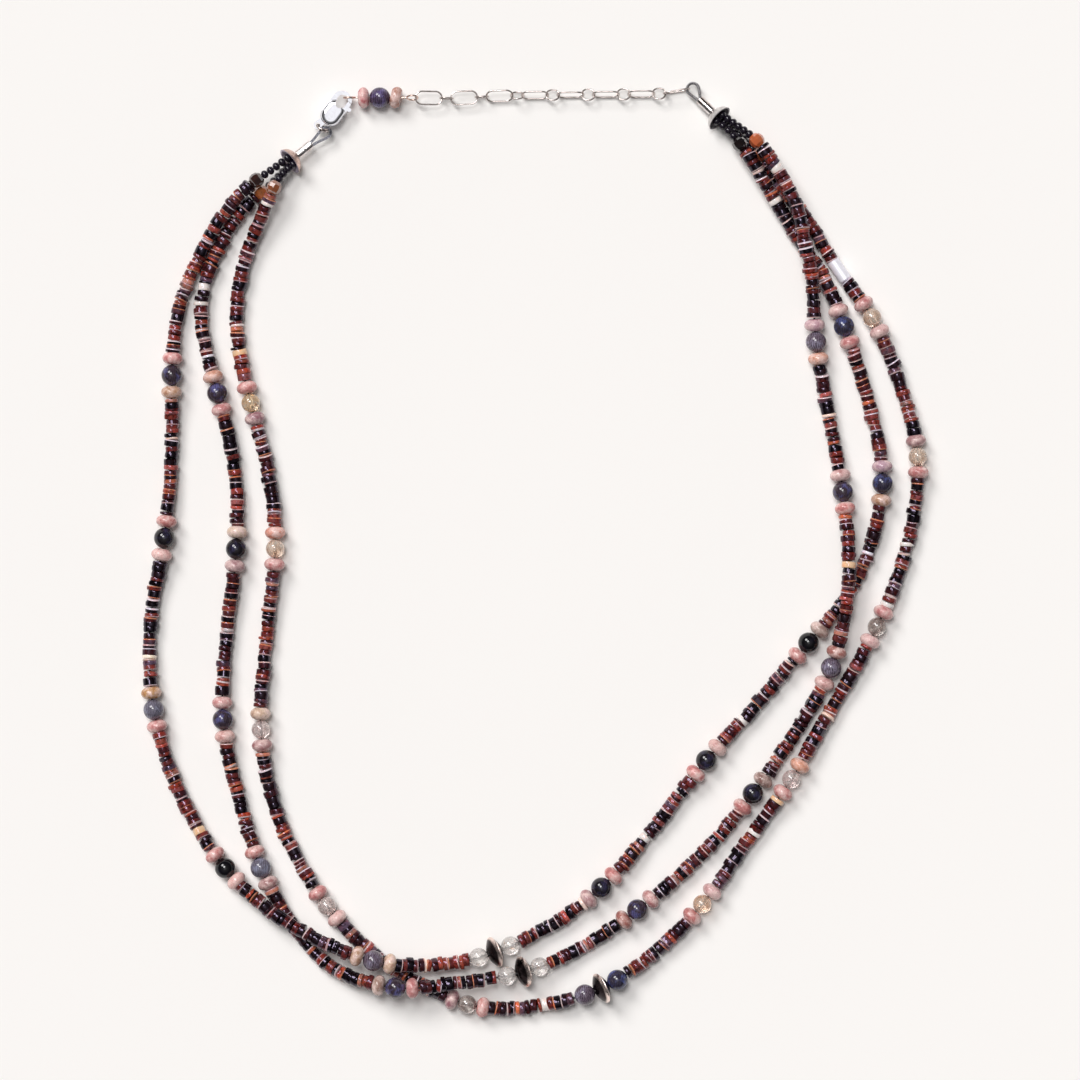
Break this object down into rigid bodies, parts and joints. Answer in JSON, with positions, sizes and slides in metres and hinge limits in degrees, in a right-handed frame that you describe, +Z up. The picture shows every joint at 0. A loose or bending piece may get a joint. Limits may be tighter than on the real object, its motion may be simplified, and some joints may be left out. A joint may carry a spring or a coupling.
{
  "type": "three-strand heishi bead necklace",
  "caption": "Three-strand necklace of small shell discs with round stones, rondelles and dark saucer beads, gathered in two cones, closed by a lobster clasp, bead pin and extender chain",
  "frame": {"origin": "on the surface that the necklace lies on, under the middle of the whole necklace", "axes": "+Z up from the surface; +Y from the bottom of the loop towards the clasp and chain; +X to the wearer's left as seen in the picture, towards the chain's far end"},
  "size_m": [0.197, 0.2342, 0.0097],
  "materials": {
    "shell": "glossy polished shell",
    "pink_stone": "polished",
    "dark_stone": "polished",
    "clear_stone": "polished",
    "dark_metal": "oxidised, worn bright at the rim",
    "crystal": "faceted",
    "thread": "waxed",
    "bronze": "satin",
    "silver": "bright polished",
    "steel_wire": "drawn wire",
    "copper_wire": "satin"
  },
  "bodies": {
    "necklace": {"bead_pin": "copper_wire", "clasp_body": "silver", "clasp_ring": "silver", "crimps": "silver", "end_crystals": "crystal", "extender_chain": "silver", "inner_heishi": "shell", "inner_rondelles": "pink_stone", "inner_saucer": "dark_metal", "inner_stone_01": "clear_stone", "inner_stone_02": "clear_stone", "inner_stone_03": "clear_stone", "inner_stone_04": "clear_stone", "inner_stone_05": "clear_stone", "inner_stone_06": "dark_stone", "inner_stone_07": "dark_stone", "inner_stone_08": "clear_stone", "inner_stone_09": "clear_stone", "inner_stone_10": "clear_stone", "inner_stone_11": "clear_stone", "inner_stone_12": "clear_stone", "left_cone": "bronze", "left_wire_loop": "steel_wire", "middle_heishi": "shell", "middle_rondelles": "pink_stone", "middle_saucer": "dark_metal", "middle_stone_01": "dark_stone", "middle_stone_02": "dark_stone", "middle_stone_03": "dark_stone", "middle_stone_04": "dark_stone", "middle_stone_05": "dark_stone", "middle_stone_06": "clear_stone", "middle_stone_07": "clear_stone", "middle_stone_08": "dark_stone", "middle_stone_09": "dark_stone", "middle_stone_10": "dark_stone", "middle_stone_11": "dark_stone", "middle_stone_12": "dark_stone", "outer_heishi": "shell", "outer_rondelles": "pink_stone", "outer_saucer": "dark_metal", "outer_stone_01": "dark_stone", "outer_stone_02": "dark_stone", "outer_stone_03": "dark_stone", "outer_stone_04": "dark_stone", "outer_stone_05": "dark_stone", "outer_stone_06": "clear_stone", "outer_stone_07": "clear_stone", "outer_stone_08": "dark_stone", "outer_stone_09": "dark_stone", "outer_stone_10": "dark_stone", "outer_stone_11": "dark_stone", "outer_stone_12": "dark_stone", "pin_beads": "pink_stone", "right_cone": "bronze", "right_wire_loop": "steel_wire", "silver_tube": "silver", "threads": "thread"},
    "lever": {"clasp_lever": "silver"}
  },
  "joints": [
    {"name": "clasp_lever", "type": "hinge", "parent": "necklace", "child": "lever", "pos_m": [-0.04931, 0.10926, 0.00281], "axis": [0, 0, 1], "range_deg": [0, 20], "stiffness_Nm_per_rad": 0.00002}
  ]
}
